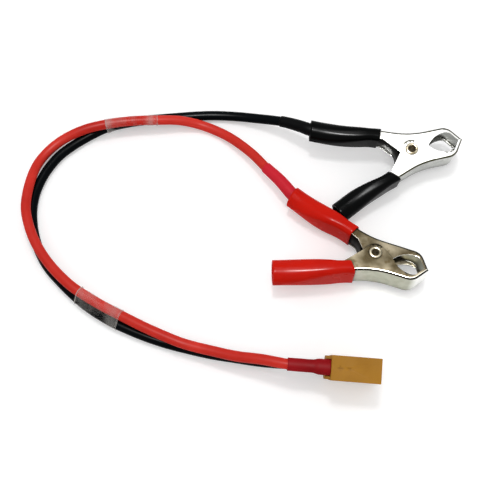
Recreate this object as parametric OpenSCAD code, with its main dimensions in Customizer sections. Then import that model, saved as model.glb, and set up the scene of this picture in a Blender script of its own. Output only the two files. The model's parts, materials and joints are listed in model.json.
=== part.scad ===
// A battery adapter lead: a two-pole round-pin connector, a red and a black
// silicone wire, and two sprung battery clips that lie on their sides.
// Millimetres, +Z up, everything lies on the plane z = 0.

/* [Battery clips] */
// Width of the outer steel channel of a clip
clip_width = 10; // [9.5:0.1:10.5]
// Thickness of the stamped steel
sheet = 0.6; // [0.5:0.05:0.7]
// Distance from the rivet to the tip of the jaws
jaw_length = 18.8; // [18.4:0.1:19.6]
// Half of the height of the closed jaws
jaw_half = 5.8; // [5.6:0.1:6.2]
// Angle between a handle and the middle line of its clip
handle_angle = 20.5; // [19:0.5:22]
// How far the red clip's wired handle is bent in under its grip
handle_bend = 4.5; // [3:0.5:5]
// Length of the straight part of a free handle
handle_length = 24.5; // [23:0.5:25]
// Outer diameter of the rivet's shank
rivet_d = 3.2; // [3:0.1:3.6]

/* [Grips] */
// Outer diameter of the red free grip at its open end, the widest one
grip_d = 8.7; // [8.4:0.1:9]
// Outer diameter of the other three grips at their open end
slim_grip_d = 7.6; // [7.5:0.1:8]
// Wall of a grip sleeve
grip_wall = 0.7; // [0.6:0.05:0.75]

/* [Wires] */
// Outer diameter of the silicone insulation
wire_d = 3.5; // [3.3:0.1:3.6]
// Diameter of the bundle of copper strands
core_d = 1.9; // [1.6:0.1:2]

/* [Connector] */
// Length of the housing
housing_length = 16; // [15.5:0.1:17]
// Long side of the housing's section
housing_height = 15.9; // [15.5:0.1:16.4]
// Short side of the housing's section
housing_width = 8.1; // [8:0.1:8.4]
// Distance between the two pins
pin_pitch = 7.2; // [7.2:0.1:7.2]
// Diameter of a pin
pin_d = 3.5; // [3.5:0.1:3.5]
// Lean of the connector, which stands on its narrow negative side
housing_lean = 15; // [10:1:18]

/* [Hidden] */

$fn = 48;
slack = 0.05;      // least clearance between two pieces that don't move
play = 0.1;        // clearance beside and between moving pieces
big = 100;         // side of the blocks that only cut

// ---- clip: one half is drawn with its handle and jaw on the +y side ----

bend_r = 0.8;      // outer radius of the channel's bends
rim = 1.2;         // depth of the channel round the mouth
waist_r = 31;      // hollow curve between handle and jaw
waist_x = 8;       // where that curve meets the jaw
wired_waist_x = 6.5;  // the same on the black wired handle
bent_waist_x = 2;  // the same on the bent red wired handle
nose_r = 4.5;
nose_turn = 55;
nose_x = jaw_length - 6.3;
mouth_half = 3.8;
mouth_x = 13.3;    // widest place of the mouth
mouth_r = 8.6;     // its slow curve towards the rivet
mouth_turn = 56;
mouth_nose_r = 3.2;
ear_r = 3.4;
notch_x = -4.2;    // where the two halves cross behind the rivet
notch_slope = 1.25;
handle_depth = 3.2;
straight_end = 7.5;  // the handle narrows, and may bend, from here on

inner_width = clip_width - 2 * (sheet + play);

function along(a) = [-cos(a), sin(a)];
function inward(a) = [-sin(a), -cos(a)];
// A handle is given as [x where its waist meets the jaw, angle at the waist, angle under the grip,
// length, width of its end, width of its channel]
free_handle = [waist_x, handle_angle, handle_angle, handle_length, 5, clip_width];
wired_handle =
    [wired_waist_x, handle_angle, handle_angle - 1.5, handle_length - 0.5, 5.2, inner_width];
bent_handle =
    [bent_waist_x, handle_angle, handle_angle - handle_bend, handle_length - 4, 5.2, inner_width];
function waist_start(h) = [h[0] - waist_r * sin(h[1]), jaw_half + waist_r * (1 - cos(h[1]))];
// A point of a handle: s along its outer face from the waist, u inward from that face
function handle_point(h, s, u) =
    let (near = min(s, straight_end))
    let (turn = s > straight_end ? h[2] : h[1])
    waist_start(h) + near * along(h[1]) + (s - near) * along(turn) + u * inward(turn);
function arc(centre, r, from, to, n) =
    [for (i = [0:n]) let (t = from + (to - from) * i / n) centre + r * [cos(t), sin(t)]];

// The pressed channel: a strip with round bends, swept from the handle's end to the tip.
// Its section is two rows of points, [below the outer face, above the middle].
bend_steps = 3;
function bent_row(width, depth, r) =
    let (half = concat(
        [[depth, width / 2 - bend_r + r]],
        [for (i = [0:bend_steps])
            let (q = 90 * i / bend_steps)
            [bend_r - r * sin(q), width / 2 - bend_r + r * cos(q)]]))
    concat(half, [for (i = [len(half) - 1:-1:0]) [half[i][0], -half[i][1]]]);

// A station is [a point of the outer face, direction of the depth, width, depth]
function stations(h) =
    let (width = h[5])
    let (waist = [h[0], jaw_half + waist_r])
    let (nose = [nose_x, jaw_half - nose_r])
    let (fall = [cos(nose_turn), -sin(nose_turn)])
    let (nose_end = nose + nose_r * [sin(nose_turn), cos(nose_turn)])
    concat(
        [[handle_point(h, h[3], 0), inward(h[2]), h[4], handle_depth]],
        [[handle_point(h, straight_end, 0), inward((h[1] + h[2]) / 2), width, handle_depth]],
        [[handle_point(h, straight_end - 0.7, 0), inward(h[1]), width, handle_depth]],
        [[handle_point(h, straight_end - 1.2, 0), inward(h[1]), width, rim]],
        [for (i = [0:8])
            let (t = 270 - h[1] + h[1] * i / 8)
            [waist + waist_r * [cos(t), sin(t)], [cos(t), sin(t)], width, rim]],
        [for (i = [0:8])
            let (t = 90 - nose_turn * i / 8)
            [nose + nose_r * [cos(t), sin(t)], -[cos(t), sin(t)], width, rim]],
        [[nose_end + fall * (nose_end[1] - play) / sin(nose_turn), [-1 / sin(nose_turn), 0], width, rim]]
    );

function station_row(station, r) =
    [for (q = bent_row(station[2], station[3], r))
        let (p = station[0] + q[0] * station[1])
        [p[0], p[1], q[1]]];

module channel(h) {
    list = stations(h);
    last = len(list) - 1;
    row = 2 * (bend_steps + 2);
    around = 2 * row;
    points = [for (station = list) each concat(
        station_row(station, bend_r),
        [for (i = [row - 1:-1:0]) station_row(station, bend_r - sheet)[i]])];
    sides = [for (r = [0:last - 1], i = [0:around - 1])
        let (a = r * around + i)
        let (b = r * around + (i + 1) % around)
        each [[a, b, b + around], [a, b + around, a + around]]];
    caps = [for (i = [0:row - 2])
        let (k = around - 1 - i)
        let (e = last * around)
        each [[i, k, i + 1], [i + 1, k, k - 1], [e + i, e + i + 1, e + k], [e + i + 1, e + k - 1, e + k]]];
    polyhedron(points = points, faces = concat(sides, caps), convexity = 8);
}

// The flat side plate, with the ear that holds the rivet
module flank(h) {
    u = bend_r + 0.2;
    waist = [h[0], jaw_half + waist_r];
    nose = [nose_x, jaw_half - nose_r];
    outline = concat(
        [handle_point(h, straight_end - 0.4, u)],
        arc(waist, waist_r + u, 270 - h[1], 270, 12),
        arc(nose, nose_r - u, 90, 40, 8),
        arc([mouth_x, mouth_half - mouth_nose_r], mouth_nose_r, 50, 90, 8),
        arc([mouth_x, mouth_half - mouth_r], mouth_r, 94, 90 + mouth_turn, 11),
        arc([0, 0], ear_r, -53, -160, 16),
        [[notch_x, 0.2]],
        [notch_corner(h)],
        [handle_point(h, straight_end - 0.4, handle_depth - slack)]
    );
    linear_extrude(height = sheet)
        polygon(outline);
}

// Where the plate's rear edge meets the inner edge of the handle
function notch_corner(h) =
    let (p = handle_point(h, 0, handle_depth - slack))
    let (rise = tan(h[1]))
    let (x = (p[1] + rise * p[0] - 0.2 - notch_slope * notch_x) / (rise - notch_slope))
    [x, p[1] + rise * (p[0] - x)];

module jaw(h, bore_r) {
    difference() {
        union() {
            channel(h);
            for (z = [-h[5] / 2, h[5] / 2 - sheet])
                translate([0, 0, z])
                    flank(h);
        }
        translate([0, 0, -big / 2])
            cylinder(r = bore_r, h = big);
    }
}

module wired_jaw(h) {
    color("silver")
        jaw(h, rivet_d / 2 + 0.02);
}

module free_jaw() {
    color("silver")
        mirror([0, 1, 0])
            jaw(free_handle, rivet_d / 2 + slack);
}

// A tubular rivet, rolled over at both ends
module rivet() {
    face = clip_width / 2 + play;
    bore = rivet_d / 2 - 0.4;
    roll = 0.5;
    color("gainsboro")
        rotate_extrude() {
            translate([bore, -face])
                square([0.4, 2 * face]);
            for (side = [-1, 1])
                intersection() {
                    translate([bore + roll, side * face])
                        circle(r = roll, $fn = 24);
                    translate([0, side > 0 ? face : -face - 1])
                        square([4, 1]);
                }
        }
}

// A leaf spring: one round bend whose legs press the two handles apart
leaf = 0.4;
spring_x = -5;     // front of the bend
spring_width = 6.6;
free_leg_depth = sheet + slack + leaf / 2;  // the free handle's leg lies on its web
wired_leg_depth = 2.9;                      // the other leg lies above the wire
leg = 3.5;

// One half, from the front of the bend to the end of its leg, moved out from its middle line
function spring_half(h, depth, out) =
    let (gap = -handle_point(h, 0, depth) * inward(h[1]))
    let (bend = (gap - spring_x * sin(h[1])) / (1 - sin(h[1])))
    let (centre = [spring_x - bend, 0])
    let (curve = arc(centre, bend + out, 0, 90 - h[1], 14))
    concat([for (i = [1:14]) curve[i]], [curve[14] + leg * along(h[1])]);
function reversed(list) = [for (i = [len(list) - 1:-1:0]) list[i]];
function flipped(list) = [for (p = list) [p[0], -p[1]]];

module spring(h) {
    color("dimgray")
        linear_extrude(height = spring_width, center = true)
            polygon(concat(
                flipped(reversed(spring_half(free_handle, free_leg_depth, leaf / 2))),
                [[spring_x + leaf / 2, 0]],
                spring_half(h, wired_leg_depth, leaf / 2),
                reversed(spring_half(h, wired_leg_depth, -leaf / 2)),
                [[spring_x - leaf / 2, 0]],
                flipped(spring_half(free_handle, free_leg_depth, -leaf / 2))
            ));
}

// ---- grips: sleeves that are square at the clip and round at their free end ----

grip_sides = 28;
grip_rings = 12;

function smooth(t) = t <= 0 ? 0 : t >= 1 ? 1 : t * t * (3 - 2 * t);
function mix(a, b, t) = a + (b - a) * t;

// A grip is [its handle, where its mouth is on the handle, where it ends, slant of the mouth,
// diameter of the open end, how far it bellies inward]
red_wired = [bent_handle, -0.6, 25.5, 0.1, slim_grip_d, 0.7];
red_free = [free_handle, 2.2, 29.5, 0.3, grip_d, 0];
black_wired = [wired_handle, 4.8, 29.6, 0.05, slim_grip_d, 0.7];
black_free = [free_handle, 4.7, 29, 0.45, slim_grip_d, 0.7];
mouth_corner_r = 2;    // outside and inside corners at a grip's mouth
mouth_inner_r = 0.15;
round_end = 0.85;      // share of its length by which a grip is round

// One ring of the sleeve: t runs from the mouth (0) to the open end (1), inset is the wall.
// It deepens from the mouth on, but stays as wide as the channel until that narrows.
function grip_ring(g, t, inset) =
    let (h = g[0])
    let (w = smooth(t / round_end))
    let (narrowed = (mix(g[1], g[2], t) - straight_end) / (g[2] - straight_end))
    let (round = smooth(narrowed / round_end))
    let (half_u = mix(handle_depth / 2 + slack + grip_wall, g[4] / 2, w) - inset)
    let (half_z = mix(h[5] / 2 + slack + grip_wall, g[4] / 2, round) - inset)
    let (round_r = mix(inset > 0 ? mouth_inner_r : mouth_corner_r, g[4] / 2 - inset, round))
    let (middle = handle_depth / 2 + 3 * g[5] * w * (1 - t))  // w * (1 - t) peaks near a third
    [for (i = [0:grip_sides - 1])
        let (k = floor(i / 7))
        let (q = 90 * k + 90 * (i % 7) / 6)
        let (cu = (k == 0 || k == 3 ? 1 : -1) * (half_u - round_r))
        let (cz = (k < 2 ? 1 : -1) * (half_z - round_r))
        let (u = middle + cu + round_r * cos(q))
        let (s = mix(g[1], g[2], t) + g[3] * u * (1 - w))
        let (p = handle_point(h, s, u))
        [p[0], p[1], cz + round_r * sin(q)]];

module grip(tint, g) {
    outer = [for (r = [0:grip_rings]) each grip_ring(g, r / grip_rings, 0)];
    inner = [for (r = [0:grip_rings]) each grip_ring(g, r / grip_rings, grip_wall)];
    color(tint)
        sleeve_shell(outer, inner, grip_sides, grip_rings);
}

// A closed shell between two stacks of rings
module sleeve_shell(outer, inner, sides, rings) {
    far = sides * (rings + 1);
    walls = [for (r = [0:rings - 1], i = [0:sides - 1])
        let (j = (i + 1) % sides)
        let (a = r * sides + i)
        let (b = r * sides + j)
        each [
            [a, b, b + sides], [a, b + sides, a + sides],
            [far + a, far + b + sides, far + b], [far + a, far + a + sides, far + b + sides]
        ]];
    ends = [for (i = [0:sides - 1])
        let (j = (i + 1) % sides)
        let (last = rings * sides)
        each [
            [i, far + i, far + j], [i, far + j, j],
            [last + i, last + j, far + last + j], [last + i, far + last + j, far + last + i]
        ]];
    polyhedron(points = concat(outer, inner), faces = concat(walls, ends), convexity = 6);
}

// ---- where the clips lie ----

red_at = [0.7, -3.2, 6.5];
red_turn = -19;
red_roll = -4;
black_at = [15.6, 37.2, 7.2];
black_turn = 13;
black_roll = 8;

module at_red_clip() {
    translate(red_at)
        rotate([red_roll, 0, red_turn])
            children();
}

module at_black_clip() {
    translate(black_at)
        rotate([black_roll, 0, black_turn])
            children();
}

function rolled(p, roll) = [p[0], p[1] * cos(roll) - p[2] * sin(roll), p[1] * sin(roll) + p[2] * cos(roll)];
function turned(p, turn) = [p[0] * cos(turn) - p[1] * sin(turn), p[0] * sin(turn) + p[1] * cos(turn), p[2]];
function placed(p, at, roll, turn) = at + turned(rolled(p, roll), turn);

// A point in a wired handle, given as [along it, below its outer face, above its middle]
function red_handle(e) =
    let (p = handle_point(bent_handle, e[0], e[1]))
    placed([p[0], p[1], e[2]], red_at, red_roll, red_turn);
function black_handle(e) =
    let (p = handle_point(wired_handle, e[0], e[1]))
    placed([p[0], p[1], e[2]], black_at, black_roll, black_turn);

// ---- connector: x runs from its rear to its mouth, z from the negative side up ----

chamfer = 2;       // cut corners of the negative side
shroud_wall = 1.1;
floor_x = 7;       // the pins stand in the solid rear part
pin_tip_x = 14.6;
lip_x = -1.6;      // a lip at the rear, open on top, where the positive sleeve lies in it
lip_inset = 0.25;
lip_bore_d = 5.6;
cup_x = -3.5;
cup_d = 4.2;
collar_x = 2;
collar_d = 3.9;
connector_at = [-15.45, -39.9, 0];
connector_turn = -4.7;
connector_z = (housing_width / 2 - chamfer) * sin(housing_lean);
pin_z = [housing_height / 2 - pin_pitch / 2, housing_height / 2 + pin_pitch / 2];

module at_connector() {
    translate(connector_at + [0, 0, connector_z])
        rotate([housing_lean, 0, connector_turn])
            children();
}

function connector_point(x, z) =
    placed([x, 0, z], connector_at + [0, 0, connector_z], housing_lean, connector_turn);

module housing_section(inset) {
    w = housing_width / 2 - inset;
    cut = chamfer - inset * tan(22.5);
    polygon([
        [-w + cut, inset], [w - cut, inset], [w, inset + cut],
        [w, housing_height - inset], [-w, housing_height - inset], [-w, inset + cut]
    ]);
}

module along_x(from, to) {
    translate([from, 0, 0])
        rotate([90, 0, 90])
            linear_extrude(height = to - from)
                children();
}

module housing() {
    color("goldenrod")
        difference() {
            union() {
                along_x(0, housing_length)
                    housing_section(0);
                along_x(lip_x, slack)
                    intersection() {
                        housing_section(lip_inset);
                        translate([-big / 2, 0])
                            square([big, pin_z[1]]);
                    }
            }
            along_x(floor_x, housing_length + 1)
                housing_section(shroud_wall);
            for (z = pin_z)
                translate([lip_x - 1, 0, z])
                    rotate([0, 90, 0]) {
                        cylinder(d = lip_bore_d, h = 1 - lip_x);
                        cylinder(d = cup_d + 2 * slack, h = 1 - lip_x + collar_x);
                        cylinder(d = collar_d + 2 * slack, h = 2 - lip_x + floor_x);
                    }
            grip_grooves();
            marks();
        }
}

// Four shallow finger grooves across each wide side
module grip_grooves() {
    for (side = [-1, 1], x = [1.8, 3, 4.2, 5.4])
        translate([x - 0.25, side * housing_width / 2 - 0.25, 4.5])
            cube([0.5, 0.5, 8]);
}

// A dimple and a plus on the narrow positive side, a minus on the negative one
module marks() {
    deep = 0.2;
    long = 1.8;
    wide = 0.4;
    top = housing_height - deep;
    translate([5.8, 0, top])
        cylinder(d = 1, h = 1, $fn = 24);
    translate([2.8 - long / 2, -wide / 2, top])
        cube([long, wide, 1]);
    translate([2.8 - wide / 2, -long / 2, top])
        cube([wide, long, 1]);
    translate([2.8 - long / 2, -wide / 2, deep - 1])
        cube([long, wide, 1]);
}

// A slotted round pin with a collar and, behind it, the cup for the wire
module pin() {
    slot = 0.4;
    tip = 0.5;
    color("gold")
        rotate([0, 90, 0])
            difference() {
                union() {
                    translate([0, 0, cup_x])
                        cylinder(d = cup_d, h = collar_x - cup_x);
                    translate([0, 0, collar_x - slack])
                        cylinder(d = collar_d, h = floor_x - collar_x + slack);
                    translate([0, 0, floor_x - slack])
                        cylinder(d = pin_d, h = pin_tip_x - tip - floor_x + slack);
                    translate([0, 0, pin_tip_x - tip])
                        cylinder(d1 = pin_d, d2 = pin_d - 1, h = tip);
                }
                translate([0, 0, cup_x - 1])
                    cylinder(d = cup_d - 1, h = 5);
                for (turn = [45, 135])
                    rotate([0, 0, turn])
                        translate([-slot / 2, -pin_d, floor_x + 1.5])
                            cube([slot, 2 * pin_d, pin_tip_x]);
            }
}

module pin_solder() {
    color("lightgray")
        rotate([0, 90, 0])
            translate([0, 0, cup_x + 0.5])
                difference() {
                    cylinder(d = cup_d - 1 - 2 * slack, h = 3);
                    translate([0, 0, -1])
                        cylinder(d = core_d + 2 * slack, h = 5);
                }
}

// ---- wires: each route runs from its pin to its clip ----

red_lying = [
    [-37.7, -39.8, 10.3], [-46.2, -38.1, 8], [-55.2, -35.6, 6.3], [-61.7, -33.8, 5.7],
    [-67.2, -31.9, 5.7], [-76.6, -27.7, 5.6], [-85.1, -23.3, 5.3], [-91.7, -19.8, 5.3],
    [-99.2, -15.3, 5.7], [-104.6, -11.2, 5.8], [-110.8, -4.8, 5.6], [-115.8, 2.3, 5.5],
    [-119.2, 9.7, 5.6], [-121.1, 17.7, 5.4], [-120.5, 28.1, 4.4], [-118.2, 37.2, 2.3], [-112, 44, 3],
    [-103.4, 47.8, 5.3], [-94.6, 50, 6], [-85.2, 51.4, 6], [-75.7, 52, 5.6], [-67.7, 52.5, 4.4],
    [-60.1, 51.9, 2.2], [-52.7, 48.8, 2], [-46.8, 44.5, 3], [-40.8, 38.6, 4.3]
];
black_lying = [
    [-37.7, -38.5, 2.2], [-46.2, -37.1, 1.8], [-54.7, -35.7, 1.8], [-61.7, -34.1, 1.8],
    [-69.8, -32, 1.9], [-77.8, -29.3, 2.1], [-85.8, -25.9, 2.3], [-91.3, -23, 2.4],
    [-96.4, -19.7, 2.4], [-101.3, -15.8, 2.4], [-106.2, -11.1, 2.2], [-111.8, -4.9, 1.9],
    [-115.7, 1.7, 1.8], [-118.2, 8.7, 1.8], [-119.4, 15.7, 1.8], [-119.3, 21.8, 1.8], [-118.1, 27.3, 1.8],
    [-115.6, 33.2, 1.8], [-111.7, 39, 1.8], [-106.5, 43.7, 1.8], [-100, 48, 2], [-94.2, 50.8, 2.3],
    [-85.7, 53, 2.3], [-76.7, 54.3, 2.2], [-68.2, 55.3, 1.9], [-60.2, 56, 1.8], [-53.7, 56.1, 1.8],
    [-47, 55.5, 2.2], [-40.4, 54.2, 3.2]
];
// The last points run into the wired handles; the insulation ends at the third from the end
red_end = [[40, -2.9, 0], [33, -1.2, 0.5], [25.6, 1.1, 0.4], [21.2, 1.8, 0.1], [17, 2.2, 0], [13, 2.2, 0]];
black_end = [
    [40.3, -2.6, -4.4], [34, -0.7, -2], [29.6, 1, -0.4], [25.2, 1.8, 0], [20, 2.2, 0], [15, 2.2, 0]
];
pin_end = [-1, -4.2, -8.5, -14];         // core, insulation, middle and end of the shrink sleeve
red_route = concat(
    [for (x = pin_end) connector_point(x, pin_z[1])],
    red_lying,
    [for (e = red_end) red_handle(e)]
);
black_route = concat(
    [for (x = pin_end) connector_point(x, pin_z[0])],
    black_lying,
    [for (e = black_end) black_handle(e)]
);

tube_sides = 8;
steps = 2;         // rings for each stretch between two route points

// A smooth curve through a route's points, from point `first` to point `last`
function curve(route, first, last) = [
    for (i = [first:last - 1], k = [0:steps - 1]) spline(route, i, k / steps),
    route[last]
];
function spline(route, i, t) =
    let (p0 = route[max(i - 1, 0)])
    let (p1 = route[i])
    let (p2 = route[i + 1])
    let (p3 = route[min(i + 2, len(route) - 1)])
    0.5 * (2 * p1 + (p2 - p0) * t + (2 * p0 - 5 * p1 + 4 * p2 - p3) * t * t
        + (3 * p1 - p0 - 3 * p2 + p3) * t * t * t);
function unit(v) = v / norm(v);
function heading(path, i) = unit(path[min(i + 1, len(path) - 1)] - path[max(i - 1, 0)]);

// A ring of points round a path's point; its first corner points sideways
function tube_ring(path, i, r) =
    let (ahead = heading(path, i))
    let (aside = unit(cross(ahead, [0, 0, 1])))
    let (up = cross(aside, ahead))
    [for (k = [0:tube_sides - 1])
        let (q = 360 * (k + 0.5) / tube_sides)
        path[i] + r * (cos(q) * aside + sin(q) * up)];

// A tube along a path; outer and inner radii are lists, one value for each ring
module tube(path, outer_r, inner_r) {
    rings = len(path) - 1;
    outer = [for (i = [0:rings]) each tube_ring(path, i, outer_r[i])];
    inner = [for (i = [0:rings]) each tube_ring(path, i, inner_r[i])];
    sleeve_shell(outer, inner, tube_sides, rings);
}

function even(path, r) = [for (p = path) r];

module insulation(tint, route) {
    path = curve(route, 1, len(route) - 3);
    color(tint)
        tube(path, even(path, wire_d / 2), even(path, core_d / 2 + slack));
}

module conductor(route) {
    path = curve(route, 0, len(route) - 1);
    rings = len(path) - 1;
    points = [for (i = [0:rings]) each tube_ring(path, i, core_d / 2)];
    walls = [for (r = [0:rings - 1], i = [0:tube_sides - 1])
        let (a = r * tube_sides + i)
        let (b = r * tube_sides + (i + 1) % tube_sides)
        each [[a, b, b + tube_sides], [a, b + tube_sides, a + tube_sides]]];
    caps = [
        [for (i = [tube_sides - 1:-1:0]) i],
        [for (i = [0:tube_sides - 1]) rings * tube_sides + i]
    ];
    color("chocolate")
        polyhedron(points = points, faces = concat(walls, caps), convexity = 6);
}

// The drop of solder that holds the strands in the clip's handle
module clip_solder(route) {
    last = len(route) - 1;
    ahead = unit(route[last - 1] - route[last]);
    color("lightgray")
        translate(route[last] + 0.8 * ahead)
            rotate([0, acos(ahead[2]), atan2(ahead[1], ahead[0])])
                rotate_extrude()
                    difference() {
                        scale([0.65, 1])
                            circle(r = 2.2, $fn = 24);
                        translate([-4, -4])
                            square([4 + core_d / 2 + slack, 8]);
                    }
}

// Shrink sleeve on the wire at a clip, from inside the grip to some way along the wire
module clip_shrink(tint, route) {
    path = curve(route, len(route) - 6, len(route) - 3);
    rings = len(path) - 1;
    color(tint)
        tube(path, [for (i = [0:rings]) mix(wire_d / 2 + 0.3, 2.3, smooth(i / rings * 1.6))],
            even(path, wire_d / 2 + slack));
}

// Shrink sleeve over a pin's cup and the start of the wire
module pin_shrink(tint, z) {
    cup_r = cup_d / 2 + slack;
    wire_r = wire_d / 2 + play;
    wall = 0.45;
    thin = 0.3;        // the wall on the wire
    from = -13.8;
    color(tint)
        translate([0, 0, z])
            rotate([0, 90, 0])
                rotate_extrude()
                    polygon([
                        [wire_r, from], [wire_r, cup_x - 1.2], [cup_r, cup_x - 0.1], [cup_r, -0.1],
                        [cup_r + wall, -0.1], [cup_r + wall, cup_x - 0.4],
                        [wire_r + thin + 0.1, cup_x - 2.5], [wire_r + thin, from]
                    ]);
}

// ---- clear sleeves that bind the two wires ----

clear_sides = 16;
clear_wall = 0.3;
clear_bore_r = wire_d / 2 + 0.15;

// A ring round both wires at one station
function pair_ring(p, q, ahead, r) =
    let (across = unit(q - p - ((q - p) * ahead) * ahead))
    let (other = cross(ahead, across))
    [for (k = [0:clear_sides - 1])
        let (t = 360 * (k + 0.5) / clear_sides)
        let (c = (cos(t) > 0 ? q : p) + r * (cos(t) * across + sin(t) * other))
        [c[0], c[1], max(c[2], slack)]];

module clear_sleeve(red_first, red_last, black_first, black_last) {
    stations = 8;
    red = [for (i = [0:stations]) let (t = mix(red_first, red_last, i / stations))
        spline(red_route, floor(t), t - floor(t))];
    black = [for (i = [0:stations]) let (t = mix(black_first, black_last, i / stations))
        spline(black_route, floor(t), t - floor(t))];
    flat = [for (i = [0:stations]) let (ahead = heading(red, i))
        black[i] - ((black[i] - red[i]) * ahead) * ahead];
    color("azure")
        sleeve_shell(
            [for (i = [0:stations])
                each pair_ring(red[i], flat[i], heading(red, i), clear_bore_r + clear_wall)],
            [for (i = [0:stations])
                each pair_ring(red[i], flat[i], heading(red, i), clear_bore_r)],
            clear_sides, stations);
}

// ---- nodes ----

at_red_clip() wired_jaw(bent_handle);  // red_wired_jaw
at_red_clip() free_jaw();  // red_free_jaw
at_red_clip() rivet();  // red_rivet
at_red_clip() spring(bent_handle);  // red_spring
at_red_clip() grip("red", red_wired);  // red_wired_grip
at_red_clip() mirror([0, 1, 0]) grip("red", red_free);  // red_free_grip
at_black_clip() wired_jaw(wired_handle);  // black_wired_jaw
at_black_clip() free_jaw();  // black_free_jaw
at_black_clip() rivet();  // black_rivet
at_black_clip() spring(wired_handle);  // black_spring
at_black_clip() grip("#222222", black_wired);  // black_wired_grip
at_black_clip() mirror([0, 1, 0]) grip("#222222", black_free);  // black_free_grip
insulation("red", red_route);  // red_insulation
conductor(red_route);  // red_conductor
clip_solder(red_route);  // red_clip_solder
clip_shrink("crimson", red_route);  // red_clip_shrink
at_connector() translate([0, 0, pin_z[1]]) pin_solder();  // red_pin_solder
at_connector() pin_shrink("crimson", pin_z[1]);  // red_pin_shrink
insulation("#222222", black_route);  // black_insulation
conductor(black_route);  // black_conductor
clip_solder(black_route);  // black_clip_solder
clip_shrink("#111111", black_route);  // black_clip_shrink
at_connector() translate([0, 0, pin_z[0]]) pin_solder();  // black_pin_solder
at_connector() pin_shrink("#111111", pin_z[0]);  // black_pin_shrink
clear_sleeve(22, 24, 25, 27);  // upper_clear_sleeve
clear_sleeve(10, 12.1, 10.1, 13);  // lower_clear_sleeve
at_connector() housing();  // connector_housing
at_connector() translate([0, 0, pin_z[1]]) pin();  // positive_pin
at_connector() translate([0, 0, pin_z[0]]) pin();  // negative_pin
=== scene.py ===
"""The looks of a battery adapter lead: two wires, two sprung clips and a two-pole connector."""
import json
import math
from collections import namedtuple

import bpy
from mathutils import Matrix, Vector, noise


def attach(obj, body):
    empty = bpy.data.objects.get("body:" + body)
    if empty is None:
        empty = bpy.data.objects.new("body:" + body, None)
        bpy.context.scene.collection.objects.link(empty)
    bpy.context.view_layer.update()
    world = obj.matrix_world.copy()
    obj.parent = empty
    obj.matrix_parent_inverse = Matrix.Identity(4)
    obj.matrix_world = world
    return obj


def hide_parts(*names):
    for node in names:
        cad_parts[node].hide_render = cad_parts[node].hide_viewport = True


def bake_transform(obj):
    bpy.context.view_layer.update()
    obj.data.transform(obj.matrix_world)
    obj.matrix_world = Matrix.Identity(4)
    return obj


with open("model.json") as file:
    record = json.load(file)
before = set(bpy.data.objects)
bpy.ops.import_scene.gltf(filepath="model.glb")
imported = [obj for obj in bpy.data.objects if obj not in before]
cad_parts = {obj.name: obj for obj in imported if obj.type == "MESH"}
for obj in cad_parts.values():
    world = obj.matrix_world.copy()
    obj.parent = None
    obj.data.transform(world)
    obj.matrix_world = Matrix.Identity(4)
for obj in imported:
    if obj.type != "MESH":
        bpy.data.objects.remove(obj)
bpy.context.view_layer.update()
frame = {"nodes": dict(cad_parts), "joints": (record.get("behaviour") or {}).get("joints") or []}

MM = 0.001
COLOURS = ("red", "black")


# ---------------------------------------------------------------- small helpers

def srgb(red, green, blue):
    """A colour given as screen values from 0 to 255, as the linear colour that a shader wants."""
    def linear(value):
        value /= 255
        return value / 12.92 if value <= 0.04045 else ((value + 0.055) / 1.055) ** 2.4
    return (linear(red), linear(green), linear(blue), 1.0)


def mix(a, b, t):
    """The value that is the share t of the way from a to b."""
    return a + (b - a) * t


def smooth(t):
    """A soft step from 0 to 1 while t goes from 0 to 1."""
    t = min(max(t, 0.0), 1.0)
    return t * t * (3 - 2 * t)


def bump_at(t, centre, width):
    """A round bump of height 1 at centre."""
    return math.exp(-((t - centre) / width) ** 2)


def uneven(point, share, frequency):
    """A factor that wanders round 1 by up to share; frequency is how often it does so in a metre."""
    return 1 + share * noise.noise(point * frequency)


# ---------------------------------------------------------------- camera

VIEW_TARGET = Vector((-0.0417, 0.0027, 0.0))
VIEW_DISTANCE = 0.318
VIEW_ELEVATION = math.radians(68)
LENS = 64.8
SENSOR_WIDTH = 36
NEAREST_SEEN = 0.01


def make_camera():
    """The photo's view, from the connector's side and high above the floor."""
    back = Vector((0, -math.cos(VIEW_ELEVATION), math.sin(VIEW_ELEVATION)))
    data = bpy.data.cameras.new("camera")
    data.lens = LENS
    data.sensor_width = SENSOR_WIDTH
    data.clip_start = NEAREST_SEEN
    camera = bpy.data.objects.new("camera", data)
    camera.location = VIEW_TARGET + VIEW_DISTANCE * back
    camera.rotation_mode = "QUATERNION"
    camera.rotation_quaternion = (-back).to_track_quat("-Z", "Y")
    bpy.context.scene.collection.objects.link(camera)
    bpy.context.scene.camera = camera


make_camera()


# ---------------------------------------------------------------- meshes

def add_mesh(name, vertices, faces, material, attributes=None):
    """A smooth mesh object; attributes gives a number for each vertex under each name."""
    mesh = bpy.data.meshes.new(name)
    mesh.from_pydata([tuple(v) for v in vertices], [], faces)
    for key, values in (attributes or {}).items():
        layer = mesh.attributes.new(key, "FLOAT", "POINT")
        layer.data.foreach_set("value", values)
    mesh.polygons.foreach_set("use_smooth", [True] * len(mesh.polygons))
    mesh.materials.append(material)
    mesh.update()
    made = bpy.data.objects.new(name, mesh)
    bpy.context.scene.collection.objects.link(made)
    return made


def loft(name, rings, material, closed=False, attributes=None):
    """A skin over rings of points. Closed joins the last ring to the first; else the ends are capped."""
    sides = len(rings[0])
    vertices = [p for ring in rings for p in ring]
    faces = []
    for r in range(len(rings) if closed else len(rings) - 1):
        near = r * sides
        far = (r + 1) % len(rings) * sides
        for i in range(sides):
            j = (i + 1) % sides
            faces.append((near + i, near + j, far + j, far + i))
    if not closed:
        faces.append(tuple(reversed(range(sides))))
        faces.append(tuple(range(len(vertices) - sides, len(vertices))))
    return add_mesh(name, vertices, faces, material, attributes)


def heading(path, i):
    """The direction of a path at one of its points."""
    return (path[min(i + 1, len(path) - 1)] - path[max(i - 1, 0)]).normalized()


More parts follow.
